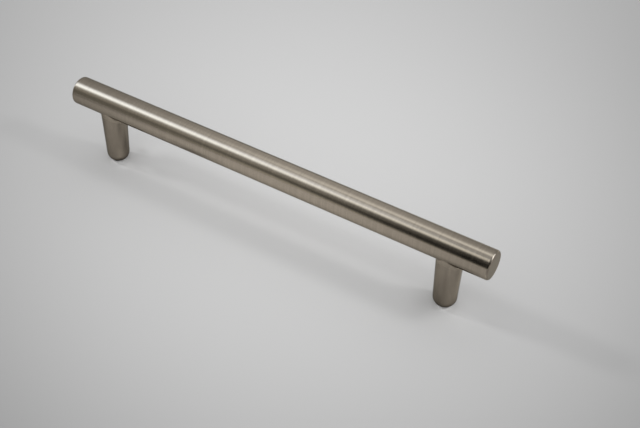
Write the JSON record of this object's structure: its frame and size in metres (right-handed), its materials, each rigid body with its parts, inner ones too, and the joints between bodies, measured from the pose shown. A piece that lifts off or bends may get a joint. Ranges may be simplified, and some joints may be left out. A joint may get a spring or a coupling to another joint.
{
  "type": "bridge pull handle",
  "caption": "Cabinet pull handle: a round bar with overhanging flat ends on round tapered legs, cast in one piece, with tapped screw holes in its feet.",
  "frame": {"origin": "on the mounting plane, midway between the two feet", "axes": "+X along the bar, +Z away from the drawer front that the feet stand on, -Y towards the side that the picture looks at"},
  "size_m": [0.195, 0.012, 0.035],
  "materials": {
    "satin_nickel": "satin nickel plate, finely brushed round the bar"
  },
  "bodies": {
    "root": {"pull_handle": "satin_nickel"}
  },
  "joints": []
}
